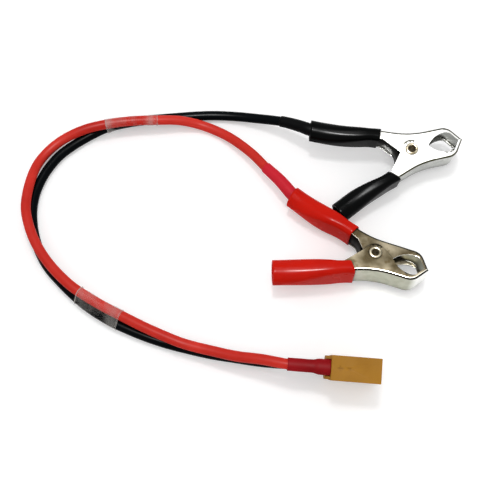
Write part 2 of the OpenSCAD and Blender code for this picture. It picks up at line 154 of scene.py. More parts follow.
def ring_round(path, i, radius, sides, wave=None):
    """Points round a path's point; wave scales the radius at each angle."""
    ahead = heading(path, i)
    aside = ahead.cross(Vector((0, 0, 1))).normalized()
    up = aside.cross(ahead)
    ring = []
    for k in range(sides):
        angle = math.tau * k / sides
        reach = radius * (wave(angle, i) if wave else 1)
        ring.append(path[i] + reach * (math.cos(angle) * aside + math.sin(angle) * up))
    return ring


END_BULGE = 0.35  # how far a sleeve's end stands out in the middle of its wall, as a share of the wall


def sleeve_on(name, path, outer, inner, material, sides=32):
    """A tube with a bore and rounded ends along a path; outer and inner are radii, one for each point."""
    def end_ring(i, side):
        middle = ring_round(path, i, mix(outer[i], inner[i], 0.5), sides)
        return [p + side * END_BULGE * (outer[i] - inner[i]) * heading(path, i) for p in middle]

    last = len(path) - 1
    rings = [ring_round(path, i, outer[i], sides) for i in range(last + 1)]
    rings.append(end_ring(last, 1))
    rings += [ring_round(path, i, inner[i], sides) for i in range(last, -1, -1)]
    rings.append(end_ring(0, -1))
    return loft(name, rings, material, closed=True)


# ---------------------------------------------------------------- where the clips lie

CLIP_TURN = {"red": math.radians(-19), "black": math.radians(13)}
CLIP_ROLL = {"red": math.radians(-4), "black": math.radians(8)}


def clip_matrix(colour):
    """From a clip's own axes, where x is forward and z is along the rivet, to the frame's."""
    joint = next(j for j in frame["joints"] if j["name"] == f"{colour}_clip_hinge")
    return (Matrix.Translation(joint["pos_m"])
            @ Matrix.Rotation(CLIP_TURN[colour], 4, "Z") @ Matrix.Rotation(CLIP_ROLL[colour], 4, "X"))


CLIP = {colour: clip_matrix(colour) for colour in COLOURS}


# ---------------------------------------------------------------- shader nodes

def new_material(name):
    material = bpy.data.materials.new(name)
    material.use_nodes = True
    tree = material.node_tree
    return material, tree, tree.nodes["Principled BSDF"]


def add_noise(tree, scale, detail=4.0, stretch=None):
    """A noise texture on the object's own coordinates."""
    place = tree.nodes.new("ShaderNodeTexCoord").outputs["Object"]
    if stretch:
        mapping = tree.nodes.new("ShaderNodeMapping")
        mapping.inputs["Scale"].default_value = stretch
        tree.links.new(place, mapping.inputs["Vector"])
        place = mapping.outputs["Vector"]
    texture = tree.nodes.new("ShaderNodeTexNoise")
    texture.inputs["Scale"].default_value = scale
    texture.inputs["Detail"].default_value = detail
    tree.links.new(place, texture.inputs["Vector"])
    return texture.outputs["Fac"]


def add_tones(tree, source, dark, light, start=0.3, end=0.7):
    """A colour that goes from dark to light while the source goes from start to end."""
    ramp = tree.nodes.new("ShaderNodeValToRGB")
    for element, place, colour in zip(ramp.color_ramp.elements, (start, end), (dark, light)):
        element.position = place
        element.color = colour
    tree.links.new(source, ramp.inputs["Fac"])
    return ramp.outputs["Color"]


def add_range(tree, source, low, high, start=0.3, end=0.7):
    """A value that goes from low to high while the source goes from start to end."""
    node = tree.nodes.new("ShaderNodeMapRange")
    node.inputs["From Min"].default_value = start
    node.inputs["From Max"].default_value = end
    node.inputs["To Min"].default_value = low
    node.inputs["To Max"].default_value = high
    tree.links.new(source, node.inputs["Value"])
    return node.outputs["Result"]


def add_math(tree, operation, *values):
    """A math node; each value is a number or a socket."""
    node = tree.nodes.new("ShaderNodeMath")
    node.operation = operation
    for socket, value in zip(node.inputs, values):
        if isinstance(value, float):
            socket.default_value = value
        else:
            tree.links.new(value, socket)
    return node.outputs["Value"]


def add_bump(tree, shader, source, strength, distance):
    node = tree.nodes.new("ShaderNodeBump")
    node.inputs["Strength"].default_value = strength
    node.inputs["Distance"].default_value = distance
    tree.links.new(source, node.inputs["Height"])
    tree.links.new(node.outputs["Normal"], shader.inputs["Normal"])


def add_mix(tree, factor, first, second):
    """A colour mix; first and second are colours or sockets."""
    node = tree.nodes.new("ShaderNodeMix")
    node.data_type = "RGBA"
    tree.links.new(factor, node.inputs["Factor"])
    for socket, value in (("A", first), ("B", second)):
        target = [s for s in node.inputs if s.name == socket and s.type == "RGBA"][0]
        if isinstance(value, tuple):
            target.default_value = value
        else:
            tree.links.new(value, target)
    return [s for s in node.outputs if s.type == "RGBA"][0]


def add_coat(tree, below, above, source, span, most=1.0):
    """Lays one colour over another: none of it at the start of the source's span, the most at its end."""
    return add_mix(tree, add_range(tree, source, 0.0, most, *span), below, above)


def add_hollow_shade(tree, colour, dark, reach, full=0.35, none=0.9):
    """Paints shade: darkens a colour where the surface looks into a narrow hollow. It is dark where only
    the share `full` of its surroundings is open, and as it was from the share `none` on."""
    node = tree.nodes.new("ShaderNodeAmbientOcclusion")
    node.samples = 8
    node.inputs["Distance"].default_value = reach
    return add_coat(tree, dark, colour, node.outputs["AO"], (full, none))


def add_facing(tree, direction):
    """How far the surface faces a direction: 1 when it faces it, 0 when it is side on."""
    geometry = tree.nodes.new("ShaderNodeNewGeometry")
    dot = tree.nodes.new("ShaderNodeVectorMath")
    dot.operation = "DOT_PRODUCT"
    dot.inputs[1].default_value = tuple(direction)
    tree.links.new(geometry.outputs["Normal"], dot.inputs[0])
    return dot.outputs["Value"]


def add_background_rays(tree):
    """1 for what the camera, reflections and clear pieces see, 0 for the light that falls on things."""
    path = tree.nodes.new("ShaderNodeLightPath")
    seen = path.outputs["Is Camera Ray"]
    for ray in ("Is Glossy Ray", "Is Transmission Ray"):
        seen = add_math(tree, "MAXIMUM", seen, path.outputs[ray])
    return seen


# ---------------------------------------------------------------- kinds of material

def plastic(name, dark, light, roughness, gloss, grain=900.0):
    """Plastic or rubber with soft clouds of colour, smears of roughness and a fine grain."""
    material, tree, shader = new_material(name)
    clouds = add_noise(tree, scale=70.0)
    smears = add_noise(tree, scale=160.0, detail=6.0)
    grains = add_noise(tree, scale=grain, detail=3.0)
    tree.links.new(add_tones(tree, clouds, dark, light), shader.inputs["Base Color"])
    tree.links.new(add_range(tree, smears, *roughness), shader.inputs["Roughness"])
    add_bump(tree, shader, grains, strength=0.1, distance=0.1 * MM)
    shader.inputs["Specular IOR Level"].default_value = gloss
    return material


# Where each coat of a clip's steel starts and where it covers all, told by how far the surface faces
# forward, upward, or aside to the wired handle. A plate faces upward by 1, the web by 0, and a bend lies
# between them.
# The nose gets a painted highlight, the bends a painted dark reflection line and a painted glint, and the
# far rim the same painted dark reflection.
NOSE_FORWARD = (0.3, 0.85)
DARK_REFLECTION_UPWARD = (0.1, 0.28)
GLINT_UPWARD = (0.9, 0.95)
PLATE_UPWARD = (0.965, 0.985)
FAR_REFLECTION_ASIDE = (0.05, 0.15)
FAR_REFLECTION_UPWARD = (0.2, 0.35)
STAIN_EDGE = 0.12
# Painted highlight on the clip's nose
NOSE_HIGHLIGHT = srgb(250, 250, 248)
# Painted shade deep in the clip's hollows
HOLLOW_SHADE = srgb(16, 15, 9)


def steel(name, clip, plate, web, line, contact_shade, glint, stain, clean, roughness):
    """Nickel plate on pressed steel: clouds, stains and fine rolling marks. Its bends show a painted
    glint and a painted dark reflection line, which also runs along the far rim, found from how far the
    surface turns from the clip's axes, and its nose has a painted highlight. Close to another piece it gets
    painted contact shade, and painted shade in its hollows. The higher `clean` is, the fewer stains it has."""
    material, tree, shader = new_material(name)
    clouds = add_noise(tree, scale=120.0, detail=6.0)
    spots = add_noise(tree, scale=420.0, detail=5.0)
    marks = add_noise(tree, scale=500.0, detail=2.0, stretch=(0.15, 1.0, 1.0))
    forward, aside, upward = (add_facing(tree, clip.col[axis].xyz) for axis in range(3))
    # rim: a painted dark reflection in the line's colour, where a bend turns aside to the far side
    rim = add_math(tree, "MULTIPLY", add_range(tree, aside, 0.0, 1.0, *FAR_REFLECTION_ASIDE),
                   add_range(tree, upward, 0.0, 1.0, *FAR_REFLECTION_UPWARD))

    flat = add_tones(tree, clouds, *plate, start=0.36, end=0.62)
    flat = add_coat(tree, flat, stain, spots, (clean, clean + STAIN_EDGE), most=0.8)
    colour = add_tones(tree, spots, *web)
    # Painted highlight on the nose, then along the bends a painted dark reflection line, a painted glint
    # and the plate
    colour = add_coat(tree, colour, NOSE_HIGHLIGHT, forward, NOSE_FORWARD, most=0.9)
    colour = add_coat(tree, colour, line, upward, DARK_REFLECTION_UPWARD)
    colour = add_coat(tree, colour, glint, upward, GLINT_UPWARD)
    colour = add_coat(tree, colour, flat, upward, PLATE_UPWARD)
    colour = add_mix(tree, rim, colour, line)
    # Painted contact shade next to other pieces, then painted shade deep in the hollows
    colour = add_hollow_shade(tree, colour, contact_shade, reach=0.9 * MM, full=0.55, none=0.85)
    colour = add_hollow_shade(tree, colour, HOLLOW_SHADE, reach=7 * MM)

    shader.inputs["Metallic"].default_value = 1.0
    tree.links.new(colour, shader.inputs["Base Color"])
    tree.links.new(add_range(tree, clouds, *roughness), shader.inputs["Roughness"])
    add_bump(tree, shader, marks, strength=0.12, distance=0.1 * MM)
    return material


# Painted shade in the hollows of plain metal, such as the rivet's bore
METAL_HOLLOW_SHADE = srgb(150, 134, 104)


def metal(name, dark, light, roughness):
    """Plain metal with fine clouds and grain, with painted shade in its hollows."""
    material, tree, shader = new_material(name)
    clouds = add_noise(tree, scale=500.0, detail=5.0)
    grains = add_noise(tree, scale=1200.0, detail=3.0)
    colour = add_hollow_shade(tree, add_tones(tree, clouds, dark, light), METAL_HOLLOW_SHADE, reach=2 * MM)
    shader.inputs["Metallic"].default_value = 1.0
    tree.links.new(colour, shader.inputs["Base Color"])
    tree.links.new(add_range(tree, clouds, *roughness), shader.inputs["Roughness"])
    add_bump(tree, shader, grains, strength=0.15, distance=0.05 * MM)
    return material


def clear_film(name):
    """Thin clear plastic, milky where its ends are crumpled; the mesh's `milky` attribute says where."""
    material, tree, shader = new_material(name)
    attribute = tree.nodes.new("ShaderNodeAttribute")
    attribute.attribute_name = "milky"
    wrinkles = add_noise(tree, scale=420.0, stretch=(1.0, 0.4, 1.0))
    milkiest = 0.5
    wrinkle_veil = add_range(tree, wrinkles, 0.0, 0.05, start=0.45, end=0.7)
    alpha = add_math(tree, "MULTIPLY_ADD", attribute.outputs["Fac"], milkiest, wrinkle_veil)
    tree.links.new(alpha, shader.inputs["Alpha"])
    shader.inputs["Base Color"].default_value = srgb(216, 212, 206)
    shader.inputs["Roughness"].default_value = 0.22
    shader.inputs["Specular IOR Level"].default_value = 0.06
    add_bump(tree, shader, wrinkles, strength=0.4, distance=0.3 * MM)
    return material


# ---------------------------------------------------------------- the lead's materials

SILICONE_GRAIN = 2500.0
NYLON_GRAIN = 1500.0

VINYL = {
    "red": plastic("red_vinyl", srgb(190, 22, 10), srgb(206, 30, 16), (0.2, 0.3), gloss=0.035),
    "black": plastic("black_vinyl", srgb(3, 4, 4), srgb(8, 9, 9), (0.2, 0.3), gloss=0.03)}
SILICONE = {
    "red": plastic("red_silicone", srgb(184, 38, 29), srgb(210, 54, 44), (0.36, 0.46), gloss=0.04,
                   grain=SILICONE_GRAIN),
    "black": plastic("black_silicone", srgb(3, 5, 7), srgb(8, 12, 15), (0.22, 0.32), gloss=0.02,
                     grain=SILICONE_GRAIN)}
BLACK_SHRINK = plastic("black_shrink", srgb(4, 4, 5), srgb(11, 11, 13), (0.34, 0.46), gloss=0.03)
CLIP_SHRINK = {
    "red": plastic("red_shrink", srgb(190, 32, 44), srgb(214, 42, 58), (0.4, 0.5), gloss=0.03),
    "black": BLACK_SHRINK}
PIN_SHRINK = {
    "red": plastic("red_pin_shrink", srgb(130, 12, 18), srgb(164, 22, 30), (0.5, 0.62), gloss=0.03),
    "black": BLACK_SHRINK}
# Both clips are the same nickel steel. The red clip's darker plate and the black clip's near-white plate
# are painted reflections.
CLIP_STEEL = {
    "red": steel("red_clip_steel", CLIP["red"],
                 plate=(srgb(78, 69, 50), srgb(138, 129, 109)),
                 web=(srgb(160, 161, 144), srgb(180, 181, 166)),
                 line=srgb(22, 20, 12), contact_shade=srgb(22, 20, 12), glint=srgb(238, 235, 222),
                 stain=srgb(80, 68, 46), clean=0.55, roughness=(0.26, 0.4)),
    "black": steel("black_clip_steel", CLIP["black"],
                   plate=(srgb(244, 244, 241), srgb(253, 253, 251)),
                   web=(srgb(180, 182, 177), srgb(206, 207, 202)),
                   line=srgb(58, 56, 36), contact_shade=srgb(216, 214, 204), glint=srgb(240, 240, 232),
                   stain=srgb(206, 190, 160), clean=0.66, roughness=(0.2, 0.32))}
RIVET_STEEL = metal("rivet_steel", srgb(128, 119, 98), srgb(180, 172, 152), (0.22, 0.36))
SPRING_STEEL = plastic("spring_steel", srgb(9, 8, 6), srgb(22, 20, 16), (0.35, 0.5), gloss=0.03)
COPPER = metal("copper_strands", srgb(176, 104, 66), srgb(214, 150, 110), (0.25, 0.4))
SOLDER = metal("solder", srgb(168, 168, 168), srgb(200, 200, 200), (0.3, 0.5))
GOLD = metal("gold_plating", srgb(214, 168, 84), srgb(236, 196, 112), (0.15, 0.25))
AMBER = plastic("amber_nylon", srgb(152, 104, 22), srgb(176, 124, 34), (0.5, 0.62), gloss=0.03,
                grain=NYLON_GRAIN)
CLEAR = clear_film("clear_sleeve")


# ---------------------------------------------------------------- the wires' routes, from pin to clip

# The connector, as in the CAD source: it stands on its narrow side and leans over the edge of a chamfer
HOUSING_HEIGHT = 15.9 * MM
HOUSING_WIDTH = 8.1 * MM
CHAMFER = 2 * MM
PIN_PITCH = 7.2 * MM
PIN_HEIGHT = {"red": (HOUSING_HEIGHT + PIN_PITCH) / 2, "black": (HOUSING_HEIGHT - PIN_PITCH) / 2}
CONNECTOR_AT = Vector((-0.01545, -0.0399, 0.0))
CONNECTOR_TURN = math.radians(-4.7)
CONNECTOR_LEAN = math.radians(15)
CONNECTOR_RISE = (HOUSING_WIDTH / 2 - CHAMFER) * math.sin(CONNECTOR_LEAN)

# The routes are chosen as in the CAD source. First comes the stretch behind each pin, along the
# connector's own axis.
PIN_END = (-0.001, -0.0042, -0.0085, -0.014)
# Then the stretch that lies on the floor, the red wire beside the black one or on it
RED_LYING = [
    (-0.0377, -0.0398, 0.0103), (-0.0462, -0.0381, 0.008), (-0.0552, -0.0356, 0.0063),
    (-0.0617, -0.0338, 0.0057), (-0.0672, -0.0319, 0.0057), (-0.0766, -0.0277, 0.0056),
    (-0.0851, -0.0233, 0.0053), (-0.0917, -0.0198, 0.0053), (-0.0992, -0.0153, 0.0057),
    (-0.1046, -0.0112, 0.0058), (-0.1108, -0.0048, 0.0056), (-0.1158, 0.0023, 0.0055),
    (-0.1192, 0.0097, 0.0056), (-0.1211, 0.0177, 0.0054), (-0.1205, 0.0281, 0.0044),
    (-0.1182, 0.0372, 0.0023), (-0.112, 0.044, 0.003), (-0.1034, 0.0478, 0.0053),
    (-0.0946, 0.05, 0.006), (-0.0852, 0.0514, 0.006), (-0.0757, 0.052, 0.0056),
    (-0.0677, 0.0525, 0.0044), (-0.0601, 0.0519, 0.0022), (-0.0527, 0.0488, 0.002),
    (-0.0468, 0.0445, 0.003), (-0.0408, 0.0386, 0.0043)]
BLACK_LYING = [
    (-0.0377, -0.0385, 0.0022), (-0.0462, -0.0371, 0.0018), (-0.0547, -0.0357, 0.0018),
    (-0.0617, -0.0341, 0.0018), (-0.0698, -0.032, 0.0019), (-0.0778, -0.0293, 0.0021),
    (-0.0858, -0.0259, 0.0023), (-0.0913, -0.023, 0.0024), (-0.0964, -0.0197, 0.0024),
    (-0.1013, -0.0158, 0.0024), (-0.1062, -0.0111, 0.0022), (-0.1118, -0.0049, 0.0019),
    (-0.1157, 0.0017, 0.0018), (-0.1182, 0.0087, 0.0018), (-0.1194, 0.0157, 0.0018),
    (-0.1193, 0.0218, 0.0018), (-0.1181, 0.0273, 0.0018), (-0.1156, 0.0332, 0.0018),
    (-0.1117, 0.039, 0.0018), (-0.1065, 0.0437, 0.0018), (-0.1, 0.048, 0.002),
    (-0.0942, 0.0508, 0.0023), (-0.0857, 0.053, 0.0023), (-0.0767, 0.0543, 0.0022),
    (-0.0682, 0.0553, 0.0019), (-0.0602, 0.056, 0.0018), (-0.0537, 0.0561, 0.0018),
    (-0.047, 0.0555, 0.0022), (-0.0404, 0.0542, 0.0032)]
# Last comes the stretch into the wired handle: along it from the waist, inward from its outer face, and
# above its middle. The insulation ends at the third point from the end.
RED_END = [(0.04, -0.0029, 0), (0.033, -0.0012, 0.0005), (0.0256, 0.0011, 0.0004),
           (0.0212, 0.0018, 0.0001), (0.017, 0.0022, 0), (0.013, 0.0022, 0)]
BLACK_END = [(0.0403, -0.0026, -0.0044), (0.034, -0.0007, -0.002), (0.0296, 0.001, -0.0004),
             (0.0252, 0.0018, 0), (0.02, 0.0022, 0), (0.015, 0.0022, 0)]

CONNECTOR = (Matrix.Translation(CONNECTOR_AT + Vector((0, 0, CONNECTOR_RISE)))
             @ Matrix.Rotation(CONNECTOR_TURN, 4, "Z") @ Matrix.Rotation(CONNECTOR_LEAN, 4, "X"))

# Handles, as in the CAD source: where the waist meets the jaw, the angles at the waist and under the grip,
# and the width of the channel
Handle = namedtuple("Handle", "waist_x at_waist under_grip width")
JAW_HALF = 5.8 * MM
WAIST_R = 31 * MM
WAIST_ANGLE = math.radians(20.5)
STRAIGHT_END = 7.5 * MM
HANDLE_DEPTH = 3.2 * MM
CLIP_WIDTH = 10 * MM
INNER_WIDTH = 8.6 * MM
FREE_HANDLE = Handle(8 * MM, WAIST_ANGLE, WAIST_ANGLE, CLIP_WIDTH)
WIRED_HANDLE = {"red": Handle(2 * MM, WAIST_ANGLE, math.radians(16), INNER_WIDTH),
                "black": Handle(6.5 * MM, WAIST_ANGLE, math.radians(19), INNER_WIDTH)}


def along(angle):
    """The direction of a handle's outer face, away from the jaws."""
    return Vector((-math.cos(angle), math.sin(angle)))


def inward(angle):
    """The direction from a handle's outer face to the clip's middle."""
    return Vector((-math.sin(angle), -math.cos(angle)))


def handle_point(handle, s, u):
    """A point of a handle: s along its outer face from the waist, u inward from that face."""
    start = Vector((handle.waist_x - WAIST_R * math.sin(handle.at_waist),
                    JAW_HALF + WAIST_R * (1 - math.cos(handle.at_waist))))
    near = min(s, STRAIGHT_END)
    turn = handle.under_grip if s > STRAIGHT_END else handle.at_waist
    return start + near * along(handle.at_waist) + (s - near) * along(turn) + u * inward(turn)


def in_wired_handle(colour, s, u, above):
    p = handle_point(WIRED_HANDLE[colour], s, u)
    return CLIP[colour] @ Vector((p.x, p.y, above))


def make_route(colour, lying, end):
    return ([CONNECTOR @ Vector((x, 0, PIN_HEIGHT[colour])) for x in PIN_END]
            + [Vector(p) for p in lying] + [in_wired_handle(colour, *p) for p in end])


ROUTE = {"red": make_route("red", RED_LYING, RED_END), "black": make_route("black", BLACK_LYING, BLACK_END)}


def spline(route, i, t):
    """A point of the smooth curve, a Catmull-Rom spline, between route points i and i + 1."""
    p0, p1, p2 = route[max(i - 1, 0)], route[i], route[i + 1]
    p3 = route[min(i + 2, len(route) - 1)]
    return 0.5 * (2 * p1 + (p2 - p0) * t + (2 * p0 - 5 * p1 + 4 * p2 - p3) * t * t
                  + (3 * p1 - p0 - 3 * p2 + p3) * t * t * t)


def curve(route, first, last, steps=6):
    """The smooth curve from one route point to another."""
    points = [spline(route, i, k / steps) for i in range(first, last) for k in range(steps)]
    return points + [route[last]]


# ---------------------------------------------------------------- wires and the sleeves on them

WIRE_R = 1.75 * MM
CORE_R = 0.95 * MM
CORE_SLACK = 0.05 * MM
INSULATION_END = 3  # the route point where the insulation ends, counted back from the route's end


def make_wire(colour):
    """The silicone insulation, a soft tube that is never quite even."""
    route = ROUTE[colour]
    path = curve(route, 1, len(route) - INSULATION_END)
    outer = [WIRE_R * uneven(p, share=0.01, frequency=90) for p in path]
    inner = [CORE_R + CORE_SLACK] * len(path)
    wire = sleeve_on(f"{colour}_wire", path, outer, inner, SILICONE[colour], sides=28)
    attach(wire, "lead")
    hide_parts(f"{colour}_insulation")
    return wire, path


def make_core(colour):
    """The bundle of copper strands, twisted, with a lobe for each outer strand."""
    path = curve(ROUTE[colour], 0, len(ROUTE[colour]) - 1)
    strands = 9
    twist = 0.25
    valley = 0.93
    rise = 0.07

    def lobes(angle, i):
        return valley + rise * abs(math.cos(0.5 * strands * (angle + twist * i)))

    rings = [ring_round(path, i, CORE_R, sides=36, wave=lobes) for i in range(len(path))]
    core = loft(f"{colour}_strands", rings, COPPER)
    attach(core, "lead")
    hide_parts(f"{colour}_conductor")
    return core


CLIP_SHRINK_WALL = 0.3 * MM
CLIP_SHRINK_END_R = 2.3 * MM
CLIP_SHRINK_GAP = 0.03 * MM
CLIP_SHRINK_SPAN = 3  # how many route points before the insulation's end the sleeve starts


def make_clip_shrink(colour):
    """Shrink sleeve that starts on the wire and grows thicker on its way into the grip."""
    route = ROUTE[colour]
    end = len(route) - INSULATION_END
    path = curve(route, end - CLIP_SHRINK_SPAN, end, steps=10)
    last = len(path) - 1
    growth = 1.6
    outer = []
    for i in range(last + 1):
        radius = mix(WIRE_R + CLIP_SHRINK_WALL, CLIP_SHRINK_END_R, smooth(growth * i / last))
        outer.append(radius * uneven(path[i], share=0.02, frequency=400))
    inner = [WIRE_R + CLIP_SHRINK_GAP] * (last + 1)
    sleeve = sleeve_on(f"{colour}_clip_sleeve", path, outer, inner, CLIP_SHRINK[colour])
    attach(sleeve, "lead")
    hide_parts(f"{colour}_clip_shrink")
    return sleeve


PIN_SHRINK_START = 0.1 * MM
PIN_SHRINK_END = 13.8 * MM
PIN_SHRINK_WALL = 0.4 * MM
PIN_SHRINK_GAP = 0.1 * MM
CUP_COVER_R = 2.6 * MM
CUP_BORE_R = 2.15 * MM


def narrowed(wide, thin, back, start, length):
    """A radius that goes from wide to thin over a length that begins at start, both counted backwards."""
    return mix(wide, thin, smooth((back - start) / length))


def make_pin_shrink(colour):
    """Shrink sleeve over the pin's cup and the start of the wire, drawn in behind the cup."""
    points = 40
    path, outer, inner = [], [], []
    for i in range(points + 1):
        back = mix(PIN_SHRINK_START, PIN_SHRINK_END, i / points)
        place = CONNECTOR @ Vector((-back, 0, PIN_HEIGHT[colour]))
        outside = narrowed(CUP_COVER_R, WIRE_R + PIN_SHRINK_WALL, back, start=3.6 * MM, length=2.2 * MM)
        path.append(place)
        outer.append(outside * uneven(place, share=0.012, frequency=500))
        inner.append(narrowed(CUP_BORE_R, WIRE_R + PIN_SHRINK_GAP, back, start=3.4 * MM, length=1.2 * MM))
    sleeve = sleeve_on(f"{colour}_pin_sleeve", path, outer, inner, PIN_SHRINK[colour])
    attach(sleeve, "lead")
    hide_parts(f"{colour}_pin_shrink")
    return sleeve


# ---------------------------------------------------------------- clear sleeves that bind the wires

CLEAR_BORE_R = 1.9 * MM
CLEAR_WALL = 0.3 * MM
FILM_OUTER_R = CLEAR_BORE_R + 0.8 * CLEAR_WALL
FILM_INNER_R = CLEAR_BORE_R - 0.03 * MM
FILM_LOWEST = 0.03 * MM
FILM_CRUMPLE = 0.12 * MM
CRUMPLES_PER_METRE = 700
CRUMPLED_END = 0.08  # the share of its length over which an end is crumpled more
FILM_STATIONS = 48
FILM_SIDES = 48


def stretch_of(colour, span):
    """Evenly spread points on a stretch of a route; the span is counted in route points."""
    places = [mix(*span, i / FILM_STATIONS) for i in range(FILM_STATIONS + 1)]
    return [spline(ROUTE[colour], int(t), t - int(t)) for t in places]


def film_ring(red, black, i, radius):
    """An oval ring round both wires, more crumpled near the sleeve's ends and kept above the floor."""
    ahead = heading(red, i)
    offset = black[i] - red[i]
    offset -= offset.dot(ahead) * ahead
    across = offset.normalized()
    other = ahead.cross(across)
    from_end = min(i, FILM_STATIONS - i) / FILM_STATIONS
    near_end = 1 + 2 * bump_at(from_end, 0, CRUMPLED_END)  # up to three times as crumpled
    ring = []
    for k in range(FILM_SIDES):
        angle = math.tau * (k + 0.5) / FILM_SIDES
        centre = red[i] + (offset if math.cos(angle) > 0 else Vector())
        p = centre + radius * (math.cos(angle) * across + math.sin(angle) * other)
        crumple = FILM_CRUMPLE * noise.noise(p * CRUMPLES_PER_METRE) * near_end
        p = p + crumple * (p - centre).normalized()
        ring.append(Vector((p.x, p.y, max(p.z, FILM_LOWEST))))
    return ring


def make_film(name, node, red_span, black_span, veils):
    """A clear sleeve round both wires. Each veil is a milky patch: its place along the sleeve, its width
    and its strength."""
    red = stretch_of("red", red_span)
    black = stretch_of("black", black_span)
    stations = list(range(FILM_STATIONS + 1))
    outer = [film_ring(red, black, i, FILM_OUTER_R) for i in stations]
    inner = [film_ring(red, black, i, FILM_INNER_R) for i in reversed(stations)]
    milky = []
    for i in stations + stations[::-1]:
        veil = sum(strength * bump_at(i / FILM_STATIONS, place, width) for place, width, strength in veils)
        milky += [min(veil, 1)] * FILM_SIDES
    film = loft(name, outer + inner, CLEAR, closed=True, attributes={"milky": milky})
    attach(film, "lead")
    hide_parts(node)
    return film


upper_film = make_film("upper_film", "upper_clear_sleeve", (22, 24), (25, 27),
                       ((0, 0.02, 0.5), (0.06, 0.07, 0.2), (0.86, 0.08, 0.2), (1, 0.015, 0.6)))
lower_film = make_film("lower_film", "lower_clear_sleeve", (10, 12.1), (10.1, 13),
                       ((0, 0.02, 0.3), (0.15, 0.15, 0.18), (0.8, 0.2, 0.1), (1, 0.015, 0.9)))


# ---------------------------------------------------------------- cords

def make_cord(colour, film):
    """A wire with its strands and its sleeves; its solder and the given film are put in a list that nothing
    uses.
    """
    wire, path = make_wire(colour)
    on_it = [make_core(colour), make_clip_shrink(colour), make_pin_shrink(colour), film,
             frame["nodes"][f"{colour}_clip_solder"], frame["nodes"][f"{colour}_pin_solder"]]


make_cord("red", upper_film)
make_cord("black", lower_film)


# ---------------------------------------------------------------- grips

GRIP_WALL = 0.7 * MM
GRIP_GAP = 0.05 * MM
GRIP_PINCH = 0.1 * MM
MOUTH_CORNER_R = 2 * MM
MOUTH_INNER_R = 0.15 * MM
ROUND_END = 0.85  # the share of its length at which a grip has become round
GRIP_RINGS = 40
CORNER_STEPS = 12

# Where a grip's mouth and its end are on its handle, the slant of the mouth, the diameter at the end, and
# how far it bellies inward
Grip = namedtuple("Grip", "handle mouth end slant end_d belly")
GRIPS = {
    "red_wired_grip": Grip(WIRED_HANDLE["red"], -0.6 * MM, 25.5 * MM, 0.1, 7.6 * MM, 0.7 * MM),
    "red_free_grip": Grip(FREE_HANDLE, 2.2 * MM, 29.5 * MM, 0.3, 8.7 * MM, 0.0),
    "black_wired_grip": Grip(WIRED_HANDLE["black"], 4.8 * MM, 29.6 * MM, 0.05, 7.6 * MM, 0.7 * MM),
    "black_free_grip": Grip(FREE_HANDLE, 4.7 * MM, 29 * MM, 0.45, 7.6 * MM, 0.7 * MM)}


def grip_ring(grip, t, inset, flip):
    """One ring of a grip, a rectangle with round corners that turns into a circle: t runs from the mouth to
    the open end, and inset goes into its wall."""
    w = smooth(t / ROUND_END)
    past_bend = (mix(grip.mouth, grip.end, t) - STRAIGHT_END) / (grip.end - STRAIGHT_END)
    roundness = smooth(past_bend / ROUND_END)
    pinch = GRIP_PINCH * (bump_at(t, 0.0, 0.04) - bump_at(t, 0.16, 0.07))  # flared mouth, pinched behind
    half_u = mix(HANDLE_DEPTH / 2 + GRIP_GAP + GRIP_WALL, grip.end_d / 2, w) - inset + pinch
    half_z = mix(grip.handle.width / 2 + GRIP_GAP + GRIP_WALL, grip.end_d / 2, roundness) - inset
    corner_r = mix(MOUTH_CORNER_R, MOUTH_INNER_R, inset / GRIP_WALL)
    round_r = mix(corner_r, grip.end_d / 2 - inset, roundness)
    middle = HANDLE_DEPTH / 2 + 3 * grip.belly * w * (1 - t)  # w * (1 - t) peaks near a third
    ring = []
    for quarter in range(4):
        corner_u = (1 if quarter in (0, 3) else -1) * (half_u - round_r)
        corner_z = (1 if quarter < 2 else -1) * (half_z - round_r)
        for step in range(CORNER_STEPS):
            angle = math.pi / 2 * (quarter + step / (CORNER_STEPS - 1))
            u = middle + corner_u + round_r * math.cos(angle)
            s = mix(grip.mouth, grip.end, t) + grip.slant * u * (1 - w)
            p = handle_point(grip.handle, s, u)
            ring.append(Vector((p.x, flip * p.y, corner_z + round_r * math.sin(angle))))
    return ring


def make_grip(colour, half):
    """A vinyl sleeve on a handle, with its bore and rounded rims."""
    name = f"{colour}_{half}_grip"
    grip = GRIPS[name]
    flip = -1 if half == "free" else 1
    rim_depths = (0.15, 0.5, 0.85)
    rim_bulge = 0.004

    def ring(t, depth):
        return grip_ring(grip, t, GRIP_WALL * depth, flip)

    outside = [ring(i / GRIP_RINGS, 0.0) for i in range(GRIP_RINGS + 1)]
    rim = [ring(1 + rim_bulge * math.sin(math.pi * depth), depth) for depth in rim_depths]
    inside = [ring(1 - i / GRIP_RINGS, 1.0) for i in range(GRIP_RINGS + 1)]
    lip = [ring(-rim_bulge * math.sin(math.pi * depth), depth) for depth in reversed(rim_depths)]
    made = loft(name + "_sleeve", outside + rim + inside + lip, VINYL[colour], closed=True)
    made.data.transform(CLIP[colour])
    if half == "free":
        made.data.flip_normals()
    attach(made, "lead" if half == "wired" else f"{colour}_jaw")
    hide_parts(name)


for colour in COLOURS:
    make_grip(colour, "wired")
    make_grip(colour, "free")


# ---------------------------------------------------------------- springs

LEAF = 0.4 * MM
LEAF_EDGE = 0.12 * MM
SPRING_X = -5 * MM
SPRING_WIDTH = 6.6 * MM
FREE_LEG_DEPTH = 0.85 * MM
WIRED_LEG_DEPTH = 2.9 * MM
LEG = 3.5 * MM
LEG_STEPS = 4
BEND_STEPS = 20


